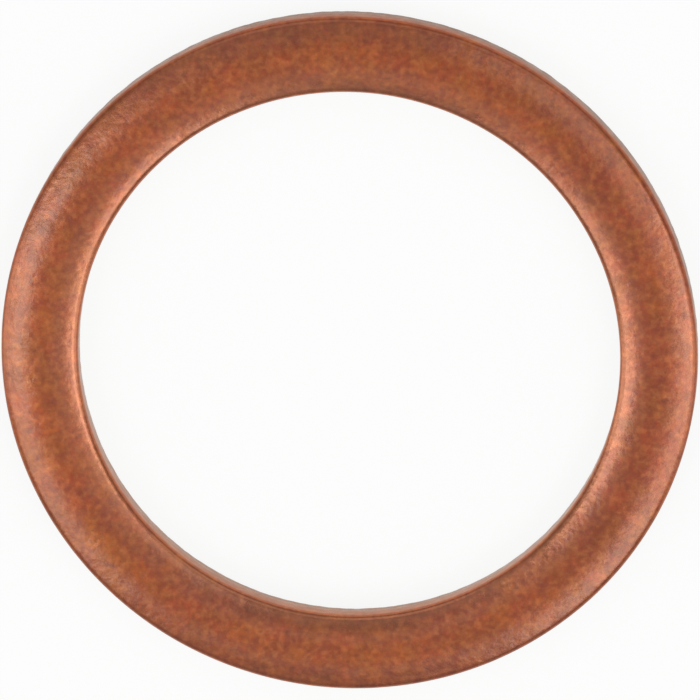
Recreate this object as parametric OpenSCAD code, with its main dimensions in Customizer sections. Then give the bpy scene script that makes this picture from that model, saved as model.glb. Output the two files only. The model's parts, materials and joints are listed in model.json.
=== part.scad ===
// Flat copper crush washer: a ring punched from soft copper strip, then tumbled and annealed.
// It lies on its burr side. The upper face is the side that the punch entered, where the metal
// was drawn down towards the rim and the bore, so it is crowned and seals first along a narrow land.
// Frame: origin on the axis at the lower face, +Z up through the bore. Millimetres.

/* [Ring] */
// Outside diameter
outer_d = 26; // [12:0.1:60]
// Width of the ring, from the bore to the rim
ring_w = 2.9; // [2.2:0.1:5]
// Thickness as supplied, before it is crushed
thickness = 1.5; // [1:0.1:2.5]

/* [Upper face] */
// Width of the flat land along the top of the crown
land_w = 0.23; // [0.1:0.01:0.6]
// Width of the crown between the land and the edge at the bore; the rim side has the rest of the ring
bore_crown_w = 0.91; // [0.4:0.01:1.3]
// Radius of that crown; the one on the rim side ends at the same slope
bore_crown_r = 3.25; // [2.2:0.05:6]
// Radius of the rounded edges where the crown turns into the walls
upper_edge_r = 0.25; // [0.1:0.05:0.4]

/* [Lower face] */
// Radius left by tumbling on the burr side's edges
lower_edge_r = 0.3; // [0.1:0.05:0.4]

/* [Hidden] */
$fn = 128;

// Colour of the tarnished copper
copper = "#A9623F";

// Bore: an M20 thread slips through it with 0.1 mm to spare all round
bore_d = outer_d - 2 * ring_w;

// Direction from a crown's centre to its end, where the edge arc takes over without a break
slope_sin = bore_crown_w / bore_crown_r;
slope_dir = [slope_sin, sqrt(1 - slope_sin * slope_sin)];

// How far an edge arc reaches in from its wall, and what that leaves for the crown on the rim side
edge_reach = upper_edge_r * (1 - slope_sin);
rim_crown_w = ring_w - land_w - bore_crown_w - 2 * edge_reach;

// The section is drawn about the middle of the land, then moved out to this radius
land_r = bore_d / 2 + edge_reach + bore_crown_w + land_w / 2;

// One side of the section, from the middle of the land to a wall, with a crown of the given width
module side_section(crown_w) {
    crown_r = crown_w / slope_sin;
    land_end = [land_w / 2, thickness];
    crown_centre = land_end - [0, crown_r];
    crown_end = crown_centre + crown_r * slope_dir;
    upper_centre = crown_centre + (crown_r - upper_edge_r) * slope_dir;
    wall_x = upper_centre[0] + upper_edge_r;
    lower_centre = [wall_x - lower_edge_r, lower_edge_r];

    polygon([
        [0, 0], [lower_centre[0], 0], lower_centre, [wall_x, lower_centre[1]],
        [wall_x, upper_centre[1]], upper_centre, crown_end, land_end, [0, thickness]
    ]);
    translate(lower_centre) circle(r = lower_edge_r);
    translate(upper_centre) circle(r = upper_edge_r);
    crown_segment(crown_centre, crown_r, upper_centre);
}

// The sliver between a crown's chord and its arc
module crown_segment(crown_centre, crown_r, upper_centre) {
    reach = crown_r + upper_edge_r;
    intersection() {
        translate(crown_centre) circle(r = crown_r);
        polygon([
            [crown_centre[0], upper_centre[1]], upper_centre,
            crown_centre + reach * slope_dir, crown_centre + [0, reach]
        ]);
    }
}

module washer() {
    color(copper)
        rotate_extrude()
            translate([land_r, 0])
                union() {
                    side_section(rim_crown_w);
                    mirror([1, 0]) side_section(bore_crown_w);
                }
}

washer();
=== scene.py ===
"""A copper crush washer: the looks of the ring, and the plain studio that shows it.

Everything is in metres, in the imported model's own frame: the origin is on the bore's axis at the lower
face, +Z points up through the bore, and the picture's right and top lie close to +X and +Y.
"""

import json
import logging
import math
from dataclasses import dataclass
from enum import Enum
from typing import Any

import bpy
from mathutils import Matrix, Vector


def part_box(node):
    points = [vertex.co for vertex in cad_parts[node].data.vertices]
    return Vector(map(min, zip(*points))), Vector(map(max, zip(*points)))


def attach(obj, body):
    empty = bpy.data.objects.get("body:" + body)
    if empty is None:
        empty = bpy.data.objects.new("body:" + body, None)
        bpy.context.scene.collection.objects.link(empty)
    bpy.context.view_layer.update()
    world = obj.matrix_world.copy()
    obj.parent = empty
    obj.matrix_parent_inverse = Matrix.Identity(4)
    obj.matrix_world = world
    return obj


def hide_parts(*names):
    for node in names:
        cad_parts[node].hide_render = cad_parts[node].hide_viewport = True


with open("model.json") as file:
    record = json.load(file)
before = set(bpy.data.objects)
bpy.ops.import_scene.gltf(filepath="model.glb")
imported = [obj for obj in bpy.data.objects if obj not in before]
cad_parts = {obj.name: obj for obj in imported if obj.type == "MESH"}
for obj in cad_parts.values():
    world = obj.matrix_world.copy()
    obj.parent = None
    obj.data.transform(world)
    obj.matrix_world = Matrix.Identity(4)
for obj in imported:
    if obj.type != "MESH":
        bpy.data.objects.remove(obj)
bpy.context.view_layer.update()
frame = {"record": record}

MM = 0.001
NODE_NAME = "washer"
BODY_NAME = "root"
WHITE = (1, 1, 1, 1)

# Ranges of a noise texture's values: nearly all lie in the first, and most in the second
WIDE_NOISE = (0.3, 0.7)
NARROW_NOISE = (0.35, 0.65)

# A Mix node has sockets for each kind of value, and these are the ones that mix colours
MIX_SHARE, MIX_UNDER, MIX_OVER = 0, 6, 7
MIX_COLOUR = 2

log = logging.getLogger("crush_washer")


class Zone(Enum):
    """Parts of the ring's surface that were made in different ways."""

    FACE = "rolled_face"
    TORN = "torn_wall"


def linear(code: str) -> tuple[float, float, float, float]:
    """Turns an sRGB colour into the linear colour that a shader takes.

    Args:
        code: The colour as a hex value, such as "#A55D40".

    Returns:
        Red, green, blue and an alpha of one.
    """
    channels = [int(code[i : i + 2], 16) / 255 for i in (1, 3, 5)]
    red, green, blue = (
        c / 12.92 if c <= 0.04045 else ((c + 0.055) / 1.055) ** 2.4 for c in channels
    )
    return red, green, blue, 1.0


def per_metre(size_mm: float) -> float:
    """Gives a texture's scale from the size of its features in millimetres."""
    return 1 / (size_mm * MM)


def add_node(
    tree: bpy.types.NodeTree, kind: str, inputs: dict[int | str, Any] | None = None, **settings: Any
) -> bpy.types.Node:
    """Adds one node to a tree, with its settings, its constants and its links.

    Args:
        tree: The node tree that gets the node.
        kind: The node's type name.
        inputs: Input sockets by name or index, each with a constant or an output socket to link from.
        **settings: Properties of the node itself.

    Returns:
        The new node.
    """
    node = tree.nodes.new(kind)
    for name, value in settings.items():
        setattr(node, name, value)
    for key, value in (inputs or {}).items():
        if isinstance(value, bpy.types.NodeSocket):
            tree.links.new(value, node.inputs[key])
        else:
            node.inputs[key].default_value = value
    return node


def new_material(name: str) -> tuple[bpy.types.Material, bpy.types.NodeTree]:
    """Makes an empty node material.

    Args:
        name: The material's name.

    Returns:
        The material and its node tree, with no nodes in it.
    """
    material = bpy.data.materials.new(name)
    material.use_nodes = True
    material.node_tree.nodes.clear()
    return material, material.node_tree


@dataclass(frozen=True)
class TintPatch:
    """One tint laid over the others in soft patches: mostly a tint of the oxide skin, and in one case
    painted shade.

    A cloudy pattern of the given size runs from 0 to 1. The tint comes in where it passes start, and has
    its whole share from end on.
    """

    name: str
    tint: str
    size_mm: float
    start: float
    end: float
    share: float
    detail: float
    seed: int


@dataclass(frozen=True)
class TumbledCopper:
    """Soft copper strip, punched, annealed and tumbled.

    Annealing leaves an uneven skin of oxide, which the eye sees as a dull red-brown, orange where the skin
    is thin and plum where it is thick. The skin is glossy, so lamps lay a pale sheen over the copper's own
    colour. Tumbling peens the surface into a satin grain and rubs the edges back to paler metal, and the
    punch leaves the edge of the bore smoother than the rest. The lower part of the walls is greyer where
    the punch tore the metal, and that grey also paints the shade of the contact shadow. One broad darker
    patch on the face is painted shade too.
    """

    name: str = "tumbled_copper"
    face: str = "#AE5219"
    stains_and_shade: tuple[TintPatch, ...] = (
        # The first tint here is painted shade: a broad darker patch, its seed picked so that it darkens the
        # right of the face
        TintPatch("broad_shade", "#7C3016", 9.0, 0.45, 0.70, 0.80, 1.0, 31),
        TintPatch("ember", "#B4591D", 3.2, 0.46, 0.66, 0.55, 2.0, 1),
        TintPatch("smoke", "#7C3016", 2.4, 0.46, 0.66, 0.70, 2.0, 20),
        TintPatch("bronze", "#A05616", 1.6, 0.36, 0.66, 0.45, 3.0, 3),
        TintPatch("brick", "#AE4523", 0.9, 0.38, 0.66, 0.65, 2.0, 4),
        TintPatch("plum", "#8A3922", 0.7, 0.42, 0.70, 0.70, 2.0, 5),
        TintPatch("rose", "#C8743E", 0.26, 0.34, 0.72, 0.45, 3.0, 6),
        TintPatch("umber", "#863415", 0.22, 0.34, 0.72, 0.52, 3.0, 7),
        TintPatch("soot", "#6D301A", 0.5, 0.62, 0.72, 0.35, 2.0, 8),
    )

    # Wear and painted shade: the tints of rubbed edges, of the bore's bright edge and of the walls' foot,
    # and where each comes in; the foot's grey is metal the punch tore, with painted shade of the contact
    # shadow
    rubbed: str = "#A95D3B"
    rubbed_from_mm: float = 0.95
    rubbed_to_mm: float = 0.1
    rubbed_share: float = 0.2
    rubbed_wander_mm: float = 0.12
    bright: str = "#D9906A"
    bright_from_mm: float = 0.55
    bright_to_mm: float = 0.12
    bright_share: float = 0.18
    # The walls' foot: the grey of metal the punch tore, which also paints the shade of the contact shadow
    # there
    torn_and_shade: str = "#8E6658"
    torn_and_shade_from_mm: float = 1.0
    torn_and_shade_to_mm: float = 0.4
    wall_from_mm: float = 0.35
    wall_to_mm: float = 0.1

    # Relief: the real satin grain and the streaks are too fine to show, so both are drawn coarser
    relief_detail: float = 2.0
    grain_mm: float = 0.18
    grain_shade: tuple[float, float] = (0.89, 1.11)
    grain_height_mm: float = 0.005
    dimple_mm: float = 0.6
    dimple_height_mm: float = 0.014
    streak_mm: float = 0.12
    streak_stretch: float = 0.1
    streak_height_mm: float = 0.004
    streak_from_mm: float = 0.08
    streak_to_mm: float = 0.02

    # Polish of the metal, how much smoother it is along the bore, and the tint of its glancing reflections
    roughness: tuple[float, float] = (0.34, 0.44)
    burnished_from_mm: float = 0.8
    burnished_to_mm: float = 0.4
    burnished_share: float = 0.8
    edge_tint: str = "#F5EDE0"

    # Skin of oxide: its weight on the face, the edges and the walls, and where each one starts or ends
    face_skin: float = 0.58
    face_skin_from_mm: float = 1.3
    edge_skin: float = 0.9
    edge_skin_to_mm: float = 0.7
    edge_skin_from_mm: float = 0.2
    wall_skin: float = 0.3
    wall_skin_to_mm: float = 0.01
    skin_roughness: float = 0.23
    skin_grain_height_mm: float = 0.003
    skin_dimple_height_mm: float = 0.007
    skin_ior: float = 1.70

    def material(self, bore_r: float, outer_r: float) -> bpy.types.Material:
        """Builds the copper's node material.

        Args:
            bore_r: The bore's radius in metres, where the inner edge is rubbed.
            outer_r: The rim's radius in metres, where the outer edge is rubbed.

        Returns:
            The finished material.
        """
        material, tree = new_material(self.name)
        place = add_node(tree, "ShaderNodeTexCoord").outputs["Object"]
        dimples, grain = (
            add_node(
                tree,
                "ShaderNodeTexNoise",
                {"Vector": place, "Scale": per_metre(size_mm), "Detail": self.relief_detail},
            ).outputs["Fac"]
            for size_mm in (self.dimple_mm, self.grain_mm)
        )
        depth, bore_depth = self._depths(tree, place, bore_r, outer_r)
        # The oxide colour here also holds one broad patch of painted shade
        oxide = self._oxide_and_shade(tree, place)
        worn_and_shaded = self._worn_and_shaded(tree, place, depth, bore_depth, dimples, oxide)
        peened = self._peened(tree, place, depth, dimples, grain)
        surface = add_node(
            tree,
            "ShaderNodeBsdfPrincipled",
            {
                "Base Color": self._speckled(tree, worn_and_shaded, grain),
                "Metallic": 1.0,
                "Roughness": self._polish(tree, dimples, bore_depth),
                "Specular Tint": linear(self.edge_tint),
                "Coat Weight": self._skin(tree, depth),
                "Coat Roughness": self.skin_roughness,
                "Coat IOR": self.skin_ior,
                "Normal": peened,
                "Coat Normal": self._beaded(tree, peened, dimples, grain),
            },
        )
        add_node(tree, "ShaderNodeOutputMaterial", {"Surface": surface.outputs["BSDF"]})
        return material

    def _depths(
        self, tree: bpy.types.NodeTree, place: bpy.types.NodeSocket, bore_r: float, outer_r: float
    ) -> tuple[bpy.types.NodeSocket, bpy.types.NodeSocket]:
        """Measures how far a point lies in from the walls.

        Args:
            tree: The material's node tree.
            place: The object coordinates.
            bore_r: The bore's radius in metres.
            outer_r: The rim's radius in metres.

        Returns:
            The sockets of the distance from the nearer wall and of that from the bore, in metres.
        """
        flat = add_node(tree, "ShaderNodeVectorMath", {0: place, 1: (1, 1, 0)}, operation="MULTIPLY")
        radius = add_node(tree, "ShaderNodeVectorMath", {0: flat.outputs["Vector"]}, operation="LENGTH")
        from_bore = {0: radius.outputs["Value"], 1: bore_r}
        bore_depth = add_node(tree, "ShaderNodeMath", from_bore, operation="SUBTRACT").outputs[0]
        from_rim = {0: outer_r, 1: radius.outputs["Value"]}
        rim_depth = add_node(tree, "ShaderNodeMath", from_rim, operation="SUBTRACT").outputs[0]
        depth = add_node(tree, "ShaderNodeMath", {0: bore_depth, 1: rim_depth}, operation="MINIMUM")
        return depth.outputs[0], bore_depth

    def _oxide_and_shade(self, tree: bpy.types.NodeTree, place: bpy.types.NodeSocket) -> bpy.types.NodeSocket:
        """Lays the oxide's tints and the painted shade over the face's own tint, one after another.

        Args:
            tree: The material's node tree.
            place: The object coordinates.

        Returns:
            The colour's socket.
        """
        colour = linear(self.face)
        for tint_patch in self.stains_and_shade:
            cloud = add_node(
                tree,
                "ShaderNodeTexNoise",
                {
                    "Vector": place,
                    "W": tint_patch.seed,
                    "Scale": per_metre(tint_patch.size_mm),
                    "Detail": tint_patch.detail,
                },
                noise_dimensions="4D",
                label=tint_patch.name,
            )
            share = add_node(
                tree,
                "ShaderNodeMapRange",
                {
                    "Value": cloud.outputs["Fac"],
                    "From Min": tint_patch.start,
                    "From Max": tint_patch.end,
                    "To Max": tint_patch.share,
                },
                interpolation_type="SMOOTHSTEP",
            )
            colour = add_node(
                tree,
                "ShaderNodeMix",
                {MIX_SHARE: share.outputs["Result"], MIX_UNDER: colour, MIX_OVER: linear(tint_patch.tint)},
                data_type="RGBA",
            ).outputs[MIX_COLOUR]
        return colour

    def _worn_and_shaded(
        self,
        tree: bpy.types.NodeTree,
        place: bpy.types.NodeSocket,
        depth: bpy.types.NodeSocket,
        bore_depth: bpy.types.NodeSocket,
        dimples: bpy.types.NodeSocket,
        colour: bpy.types.NodeSocket,
    ) -> bpy.types.NodeSocket:
        """Rubs the edges back to paler metal and greys the foot of the walls, where the punch tore the
        metal and the grey also paints the shade of the contact shadow.

        Args:
            tree: The material's node tree.
            place: The object coordinates.
            depth: The distance in from the nearer wall.
            bore_depth: The distance in from the bore.
            dimples: The peened pattern, which breaks up the limit of the rubbing.
            colour: The oxide's colour, with one broad patch of painted shade.

        Returns:
            The socket of the rubbed colour, with the painted shade at the walls' foot.
        """
        wander = add_node(
            tree,
            "ShaderNodeMapRange",
            {
                "Value": dimples,
                "From Min": WIDE_NOISE[0],
                "From Max": WIDE_NOISE[1],
                "To Min": -self.rubbed_wander_mm * MM,
                "To Max": self.rubbed_wander_mm * MM,
            },
        )
        ragged = add_node(tree, "ShaderNodeMath", {0: depth, 1: wander.outputs["Result"]}, operation="ADD")
        height = add_node(tree, "ShaderNodeSeparateXYZ", {0: place}).outputs["Z"]
        on_wall = add_node(
            tree,
            "ShaderNodeMapRange",
            {"Value": depth, "From Min": self.wall_from_mm * MM, "From Max": self.wall_to_mm * MM},
        ).outputs["Result"]
        for value, start_mm, end_mm, share, tint in (
            (ragged.outputs[0], self.rubbed_from_mm, self.rubbed_to_mm, self.rubbed_share, self.rubbed),
            # The foot of the walls: grey of metal the punch tore, with painted shade of the contact shadow
            (height, self.torn_and_shade_from_mm, self.torn_and_shade_to_mm, on_wall, self.torn_and_shade),
            (bore_depth, self.bright_from_mm, self.bright_to_mm, self.bright_share, self.bright),
        ):
            worn_and_shaded = add_node(
                tree,
                "ShaderNodeMapRange",
                {"Value": value, "From Min": start_mm * MM, "From Max": end_mm * MM, "To Max": share},
                interpolation_type="SMOOTHSTEP",
            )
            colour = add_node(
                tree,
                "ShaderNodeMix",
                {MIX_SHARE: worn_and_shaded.outputs["Result"], MIX_UNDER: colour, MIX_OVER: linear(tint)},
                data_type="RGBA",
            ).outputs[MIX_COLOUR]
        return colour

    def _speckled(
        self, tree: bpy.types.NodeTree, colour: bpy.types.NodeSocket, grain: bpy.types.NodeSocket
    ) -> bpy.types.NodeSocket:
        """Shades the colour lighter and darker by the satin grain.

        Args:
            tree: The material's node tree.
            colour: The rubbed colour, with the painted shade in it.
            grain: The satin grain.

        Returns:
            The speckled colour's socket.
        """
        shade = add_node(
            tree,
            "ShaderNodeMapRange",
            {
                "Value": grain,
                "From Min": WIDE_NOISE[0],
                "From Max": WIDE_NOISE[1],
                "To Min": self.grain_shade[0],
                "To Max": self.grain_shade[1],
            },
        )
        shaded = {0: colour, 1: shade.outputs["Result"]}
        return add_node(tree, "ShaderNodeVectorMath", shaded, operation="MULTIPLY").outputs["Vector"]

    def _polish(
        self, tree: bpy.types.NodeTree, dimples: bpy.types.NodeSocket, bore_depth: bpy.types.NodeSocket
    ) -> bpy.types.NodeSocket:
        """Varies the metal's roughness with the dimples and smooths it along the bore.

        Args:
            tree: The material's node tree.
            dimples: The peened pattern.
            bore_depth: The distance in from the bore.

        Returns:
            The roughness's socket.
        """
        uneven = add_node(
            tree,
            "ShaderNodeMapRange",
            {
                "Value": dimples,
                "From Min": NARROW_NOISE[0],
                "From Max": NARROW_NOISE[1],
                "To Min": self.roughness[0],
                "To Max": self.roughness[1],
            },
        )
        burnished = add_node(
            tree,
            "ShaderNodeMapRange",
            {
                "Value": bore_depth,
                "From Min": self.burnished_from_mm * MM,
                "From Max": self.burnished_to_mm * MM,
                "To Min": 1.0,
                "To Max": self.burnished_share,
            },
            interpolation_type="SMOOTHSTEP",
        )
        factors = {0: uneven.outputs["Result"], 1: burnished.outputs["Result"]}
        return add_node(tree, "ShaderNodeMath", factors, operation="MULTIPLY").outputs[0]

    def _skin(self, tree: bpy.types.NodeTree, depth: bpy.types.NodeSocket) -> bpy.types.NodeSocket:
        """Makes the glossy skin thick along the edges, thinner on the face and thinnest on the walls.

        Args:
            tree: The material's node tree.
            depth: The distance in from the nearer wall.

        Returns:
            The socket of the skin's weight.
        """
        upper = add_node(
            tree,
            "ShaderNodeMapRange",
            {
                "Value": depth,
                "From Min": self.edge_skin_to_mm * MM,
                "From Max": self.face_skin_from_mm * MM,
                "To Min": self.edge_skin,
                "To Max": self.face_skin,
            },
            interpolation_type="SMOOTHSTEP",
        )
        whole = add_node(
            tree,
            "ShaderNodeMapRange",
            {
                "Value": depth,
                "From Min": self.wall_skin_to_mm * MM,
                "From Max": self.edge_skin_from_mm * MM,
                "To Min": self.wall_skin,
                "To Max": upper.outputs["Result"],
            },
        )
        return whole.outputs["Result"]

    def _peened(
        self,
        tree: bpy.types.NodeTree,
        place: bpy.types.NodeSocket,
        depth: bpy.types.NodeSocket,
        dimples: bpy.types.NodeSocket,
        grain: bpy.types.NodeSocket,
    ) -> bpy.types.NodeSocket:
        """Raises the dimples, the satin grain and the upright streaks that the die drew down the walls.

        Args:
            tree: The material's node tree.
            place: The object coordinates.
            depth: The distance in from the nearer wall.
            dimples: The peened pattern.
            grain: The satin grain.

        Returns:
            The bumped normal's socket.
        """
        upright = add_node(
            tree, "ShaderNodeVectorMath", {0: place, 1: (1, 1, self.streak_stretch)}, operation="MULTIPLY"
        )
        streaks = add_node(
            tree,
            "ShaderNodeTexNoise",
            {
                "Vector": upright.outputs["Vector"],
                "Scale": per_metre(self.streak_mm),
                "Detail": self.relief_detail,
            },
        )
        on_wall = add_node(
            tree,
            "ShaderNodeMapRange",
            {"Value": depth, "From Min": self.streak_from_mm * MM, "From Max": self.streak_to_mm * MM},
        )
        normal: bpy.types.NodeSocket | None = None
        for height, height_mm, strength in (
            (dimples, self.dimple_height_mm, 1.0),
            (grain, self.grain_height_mm, 1.0),
            (streaks.outputs["Fac"], self.streak_height_mm, on_wall.outputs["Result"]),
        ):
            inputs = {"Height": height, "Distance": height_mm * MM, "Strength": strength}
            if normal is not None:
                inputs["Normal"] = normal
            normal = add_node(tree, "ShaderNodeBump", inputs).outputs["Normal"]
        return normal

    def _beaded(
        self,
        tree: bpy.types.NodeTree,
        normal: bpy.types.NodeSocket,
        dimples: bpy.types.NodeSocket,
        grain: bpy.types.NodeSocket,
    ) -> bpy.types.NodeSocket:
        """Gives the skin the metal's relief once more on top, since the oxide grows unevenly over it.

        Args:
            tree: The material's node tree.
            normal: The metal's bumped normal.
            dimples: The peened pattern.
            grain: The satin grain.

        Returns:
            The skin's normal socket.
        """
        for height, height_mm in (
            (dimples, self.skin_dimple_height_mm),
            (grain, self.skin_grain_height_mm),
        ):
            inputs = {"Height": height, "Distance": height_mm * MM, "Normal": normal}
            normal = add_node(tree, "ShaderNodeBump", inputs).outputs["Normal"]
        return normal


@dataclass(frozen=True)
class Hollows:
    """A cloudy pattern of hollows, pressed into one zone of the ring or into all of it.

    The hollows have the given size, the deepest has the given depth, and detail counts the finer octaves.
    """

    name: str
    size_mm: float
    depth_mm: float
    detail: int
    zone: Zone | None = None


@dataclass
class CrushWasher:
    """The ring: its section as the solid has it, and the unevenness that punching and tumbling leave."""

    outer_r: float
    bore_r: float
    thickness: float
    land_w: float = 0.23 * MM
    bore_crown_w: float = 0.91 * MM
    bore_crown_r: float = 3.25 * MM
    upper_edge_r: float = 0.25 * MM
    lower_edge_r: float = 0.30 * MM
    mesh_step: float = 0.085 * MM
    least_steps: int = 2
    merge_share: float = 0.01
    turn_steps: int = 960
    torn_share: float = 0.4
    hollows: tuple[Hollows, ...] = (
        Hollows("rolled_waves", 3.2, 0.014, 1),
        Hollows("tumble_dimples", 0.75, 0.004, 2),
        Hollows("knocks", 1.3, 0.006, 0, Zone.FACE),
        Hollows("torn_dents", 0.35, 0.03, 2, Zone.TORN),
    )

    @classmethod
    def from_frame(cls) -> "CrushWasher":
        """Takes the ring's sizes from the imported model's box and its bore mount.

        Returns:
            The ring, not built yet.
        """
        low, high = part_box(NODE_NAME)
        bore = next(m for m in frame["record"]["mounts"] if m["kind"] == "bore")
        return cls(high.x, bore["dims"]["r_mm"] * MM, high.z - low.z)

    def build(self, finish: TumbledCopper) -> bpy.types.Object:
        """Models the ring, dresses it and puts it in the solid's place.

        Args:
            finish: The ring's finish.

        Returns:
            The ring.
        """
        ring = self._turn_ring()
        self._mark_zones(ring)
        for hollows in self.hollows:
            self._sink(ring, hollows)
        ring.data.materials.clear()
        ring.data.materials.append(finish.material(self.bore_r, self.outer_r))
        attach(ring, BODY_NAME)
        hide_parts(NODE_NAME)
        return ring

    def _turn_ring(self) -> bpy.types.Object:
        """Draws the section from one point, by arcs and straight strokes, and turns it round the axis.

        Returns:
            The smooth ring.
        """
        fall = self.bore_crown_w / self.bore_crown_r
        slope = math.asin(fall)
        edge_reach = self.upper_edge_r * (1 - fall)
        bore_land = self.bore_r + edge_reach + self.bore_crown_w
        rim_land = bore_land + self.land_w
        rim_crown_r = (self.outer_r - edge_reach - rim_land) / fall
        rim_edge_z = self._edge_height(rim_crown_r, slope)
        bore_edge_z = self._edge_height(self.bore_crown_r, slope)
        turn = math.pi / 2

        bpy.ops.object.select_all(action="DESELECT")
        bpy.ops.mesh.primitive_plane_add(size=self.mesh_step, location=(rim_land, 0, self.thickness))
        ring = bpy.context.object
        ring.name = "copper_ring"
        bpy.ops.object.transform_apply(location=True, rotation=True, scale=True)
        bpy.ops.object.mode_set(mode="EDIT")
        bpy.ops.mesh.select_all(action="SELECT")
        bpy.ops.mesh.merge(type="CENTER")
        self._arc(rim_land, self.thickness - rim_crown_r, rim_crown_r, slope)
        self._arc(self.outer_r - self.upper_edge_r, rim_edge_z, self.upper_edge_r, turn - slope)
        self._stroke(0, self.lower_edge_r - rim_edge_z)
        self._arc(self.outer_r - self.lower_edge_r, self.lower_edge_r, self.lower_edge_r, turn)
        self._stroke(self.bore_r - self.outer_r + 2 * self.lower_edge_r, 0)
        self._arc(self.bore_r + self.lower_edge_r, self.lower_edge_r, self.lower_edge_r, turn)
        self._stroke(0, bore_edge_z - self.lower_edge_r)
        self._arc(self.bore_r + self.upper_edge_r, bore_edge_z, self.upper_edge_r, turn - slope)
        self._arc(bore_land, self.thickness - self.bore_crown_r, self.bore_crown_r, slope)
        self._stroke(self.land_w, 0)
        bpy.ops.object.mode_set(mode="OBJECT")
        turning = ring.modifiers.new("turning", "SCREW")
        turning.axis = "Z"
        turning.angle = 2 * math.pi
        turning.steps = turning.render_steps = self.turn_steps
        bpy.ops.object.modifier_apply(modifier=turning.name)
        bpy.ops.object.mode_set(mode="EDIT")
        bpy.ops.mesh.select_all(action="SELECT")
        bpy.ops.mesh.remove_doubles(threshold=self.merge_share * self.mesh_step)
        bpy.ops.mesh.normals_make_consistent(inside=False)
        bpy.ops.object.mode_set(mode="OBJECT")
        bpy.ops.object.shade_smooth()
        return ring

    def _edge_height(self, crown_r: float, slope: float) -> float:
        """Gives the height of an upper edge's centre, from its crown's radius and the slope they share."""
        return self.thickness - crown_r + (crown_r - self.upper_edge_r) * math.cos(slope)

    def _steps(self, length: float) -> int:
        """Gives how many steps a stretch of the section is drawn in."""
        return max(self.least_steps, round(length / self.mesh_step))

    def _arc(self, x: float, z: float, radius: float, angle: float) -> None:
        """Draws on from the selected point along an arc of the section.

        Args:
            x: The arc's centre, outwards.
            z: The arc's centre, upwards.
            radius: The arc's radius.
            angle: How far it turns, clockwise as seen with the rim on the right.
        """
        steps = self._steps(radius * angle)
        bpy.ops.mesh.spin(steps=steps, angle=angle, center=(x, 0, z), axis=(0, -1, 0))

    def _stroke(self, across: float, up: float) -> None:
        """Draws on from the selected point along a straight stretch of the section.

        Args:
            across: How far outwards it goes.
            up: How far upwards it goes.
        """
        steps = self._steps(math.hypot(across, up))
        move = {"value": (across / steps, 0, up / steps)}
        for _ in range(steps):
            bpy.ops.mesh.extrude_vertices_move(TRANSFORM_OT_translate=move)

    def _mark_zones(self, ring: bpy.types.Object) -> None:
        """Puts the ring's points into a vertex group for each zone.

        Args:
            ring: The smooth ring.
        """
        mid_r = (self.outer_r + self.bore_r) / 2
        face_reach = (self.outer_r - self.bore_r) / 2 - self.lower_edge_r
        torn_top = self.torn_share * self.thickness
        points: dict[Zone, list[int]] = {zone: [] for zone in Zone}
        for vertex in ring.data.vertices:
            if abs(math.hypot(vertex.co.x, vertex.co.y) - mid_r) < face_reach:
                points[Zone.FACE].append(vertex.index)
            elif vertex.co.z < torn_top:
                points[Zone.TORN].append(vertex.index)
        for zone, indices in points.items():
            ring.vertex_groups.new(name=zone.value).add(indices, 1.0, "REPLACE")

    def _sink(self, ring: bpy.types.Object, hollows: Hollows) -> None:
        """Presses hollows into the ring's mesh, never raising it above the solid's own surface.

        Args:
            ring: The ring, with its zones marked.
            hollows: The pattern to press in.
        """
        pattern = bpy.data.textures.new(hollows.name, "CLOUDS")
        pattern.noise_scale = hollows.size_mm * MM
        pattern.noise_depth = hollows.detail
        press = ring.modifiers.new(hollows.name, "DISPLACE")
        press.texture = pattern
        press.texture_coords = "LOCAL"
        press.strength = hollows.depth_mm * MM
        press.mid_level = 1.0
        press.vertex_group = hollows.zone.value if hollows.zone else ""
        bpy.ops.object.modifier_apply(modifier=press.name)


@dataclass(frozen=True)
class Softbox:
    """A rectangular lamp behind a diffuser, aimed at the ring, with the white of daylight tubes.

    That white leans a little to green, which keeps the highlights on the copper from turning pink.
    """

    name: str
    azimuth_deg: float
    elevation_deg: float
    radiance: float
    width: float
    height: float
    distance: float = 0.8
    tint: str = "#F6FFF4"

    def build(self) -> bpy.types.Object:
        """Hangs the lamp where its angles say, facing the ring.

        Returns:
            The lamp.
        """
        azimuth, elevation = math.radians(self.azimuth_deg), math.radians(self.elevation_deg)
        flat = math.cos(elevation)
        away = Vector((flat * math.cos(azimuth), flat * math.sin(azimuth), math.sin(elevation)))
        data = bpy.data.lights.new(self.name, "AREA")
        data.shape = "RECTANGLE"
        data.color = linear(self.tint)[:3]
        data.size, data.size_y = self.width, self.height
        # A lamp of this shape has a power of pi times its area for each unit of radiance
        data.energy = self.radiance * math.pi * self.width * self.height
        lamp = bpy.data.objects.new(self.name, data)
        lamp.location = away * self.distance
        lamp.rotation_euler = away.to_track_quat("Z", "Y").to_euler()
        bpy.context.scene.collection.objects.link(lamp)
        return lamp


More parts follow.
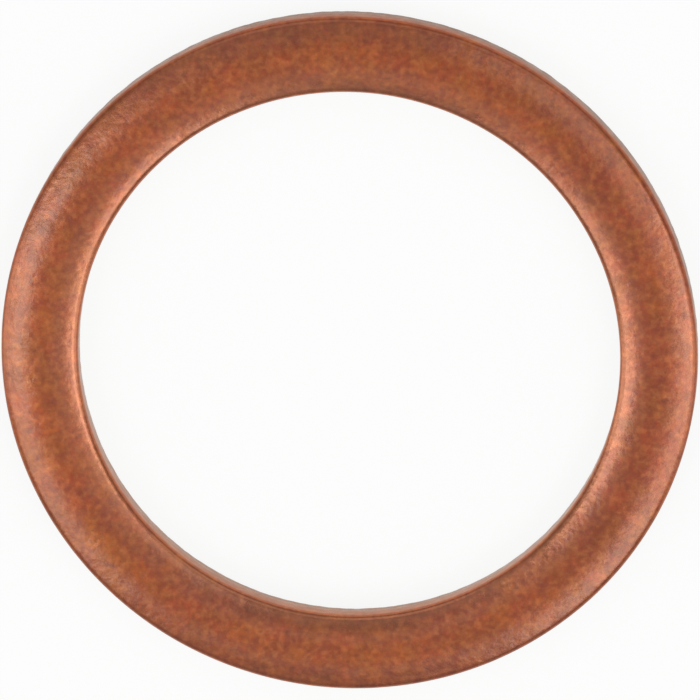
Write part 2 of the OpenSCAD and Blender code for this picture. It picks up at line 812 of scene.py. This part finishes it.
@dataclass
class Studio:
    """A white table and background, with soft lamps all round the ring.

    The small high lamps draw the bright bands on the crowns, the large low ones light the rounded edges and
    the walls, and those behind, in front and above fill in between.
    """

    world_level: float = 0.38
    table_size: float = 6.0
    table_drop: float = 0.01 * MM
    table_white: str = "#F2F2F2"
    shadow_share: float = 0.12
    lamps: tuple[Softbox, ...] = (
        Softbox("left_high", 200, 62, 3.3, 0.20, 0.20),
        Softbox("left_front", 223, 50, 1.6, 0.25, 0.25),
        Softbox("left_low", 190, 27, 1.55, 0.35, 0.70),
        Softbox("right_high", 330, 57, 2.2, 0.25, 0.25),
        Softbox("right_front", 298, 50, 2.3, 0.25, 0.25),
        Softbox("right_back", 355, 55, 1.9, 0.25, 0.25),
        Softbox("right_low", 340, 27, 1.3, 0.45, 0.70),
        Softbox("back_left", 110, 38, 0.6, 0.55, 0.50),
        Softbox("back_right", 52, 40, 0.6, 0.50, 0.50),
        Softbox("front_high", 262, 67, 0.33, 0.70, 0.50),
        Softbox("top_right", 18, 73, 0.9, 0.25, 0.25),
        Softbox("top_left", 150, 68, 0.12, 0.35, 0.35),
    )

    def build(self) -> None:
        """Sets up the table, the world and the lamps."""
        scene = bpy.context.scene
        scene.view_settings.view_transform = "Standard"
        self._table()
        self._world(scene)
        for lamp in self.lamps:
            lamp.build()

    def _table(self) -> None:
        """Lays the white table just below the ring, bright enough to be white and still take a shadow."""
        bpy.ops.object.select_all(action="DESELECT")
        bpy.ops.mesh.primitive_plane_add(size=self.table_size, location=(0, 0, -self.table_drop))
        table = bpy.context.object
        table.name = "table"
        material, tree = new_material("white_paper")
        paper = add_node(tree, "ShaderNodeBsdfDiffuse", {"Color": linear(self.table_white)})
        glow = add_node(tree, "ShaderNodeEmission", {"Color": WHITE, "Strength": 1.0})
        share = add_node(
            tree, "ShaderNodeMath", {0: self._seen(tree), 1: 1 - self.shadow_share}, operation="MULTIPLY"
        )
        mixed = add_node(
            tree, "ShaderNodeMixShader", {0: share.outputs[0], 1: paper.outputs[0], 2: glow.outputs[0]}
        )
        add_node(tree, "ShaderNodeOutputMaterial", {"Surface": mixed.outputs[0]})
        table.data.materials.append(material)

    def _seen(self, tree: bpy.types.NodeTree) -> bpy.types.NodeSocket:
        """Tells the rays that show the table, straight or mirrored, from those that light the ring.

        Args:
            tree: The table's node tree.

        Returns:
            A socket that gives 1 for the rays that show the table and 0 for the others.
        """
        path = add_node(tree, "ShaderNodeLightPath")
        mirror = add_node(
            tree,
            "ShaderNodeMath",
            {0: path.outputs["Is Glossy Ray"], 1: path.outputs["Is Transmission Ray"]},
            operation="MAXIMUM",
        )
        inputs = {0: path.outputs["Is Camera Ray"], 1: mirror.outputs[0]}
        return add_node(tree, "ShaderNodeMath", inputs, operation="MAXIMUM").outputs[0]

    def _world(self, scene: bpy.types.Scene) -> None:
        """Makes the surroundings a plain grey, which fills what the lamps leave dark.

        Args:
            scene: The scene that gets the world.
        """
        world = bpy.data.worlds.new("studio_surroundings")
        world.use_nodes = True
        tree = world.node_tree
        tree.nodes.clear()
        light = add_node(tree, "ShaderNodeBackground", {"Color": WHITE, "Strength": self.world_level})
        add_node(tree, "ShaderNodeOutputWorld", {"Surface": light.outputs[0]})
        scene.world = world


@dataclass
class PhotoCamera:
    """A long lens above the ring, turned as the photograph was taken."""

    near_side_deg: float = 75.25
    elevation_deg: float = 73.75
    roll_deg: float = 14.75
    lens_mm: float = 1000.0
    sensor_mm: float = 36.0
    frame_width: float = 26.07 * MM
    aim: tuple[float, float, float] = (0.014 * MM, 0.058 * MM, 0.75 * MM)
    clip_start: float = 0.01
    clip_end: float = 10.0

    def build(self) -> bpy.types.Object:
        """Places the camera.

        Returns:
            The camera, set as the scene's own.
        """
        near, elevation, roll = (
            math.radians(a) for a in (self.near_side_deg, self.elevation_deg, self.roll_deg)
        )
        level = Vector((math.cos(near), math.sin(near), 0))
        back = level * math.cos(elevation) + Vector((0, 0, math.sin(elevation)))
        steep = (level - back * level.dot(back)).normalized()
        up = steep * math.cos(roll) + back.cross(steep) * math.sin(roll)
        right = up.cross(back)
        distance = self.frame_width * self.lens_mm / self.sensor_mm
        data = bpy.data.cameras.new("photo_camera")
        data.lens = self.lens_mm
        data.sensor_width = self.sensor_mm
        data.clip_start, data.clip_end = self.clip_start, self.clip_end
        camera = bpy.data.objects.new("photo_camera", data)
        turned = Matrix((right, up, back)).transposed().to_4x4()
        camera.matrix_world = Matrix.Translation(Vector(self.aim) + back * distance) @ turned
        bpy.context.scene.collection.objects.link(camera)
        bpy.context.scene.camera = camera
        return camera


def main() -> None:
    """Builds the camera, the ring and the studio in order."""
    logging.basicConfig(level=logging.INFO, format="%(name)s: %(message)s")
    camera = PhotoCamera().build()
    log.info("camera at %s", [round(x, 4) for x in camera.location])
    ring = CrushWasher.from_frame().build(TumbledCopper())
    log.info("%s has %d points", ring.name, len(ring.data.vertices))
    Studio().build()
    log.info("studio is lit")


if __name__ == "__main__":
    main()
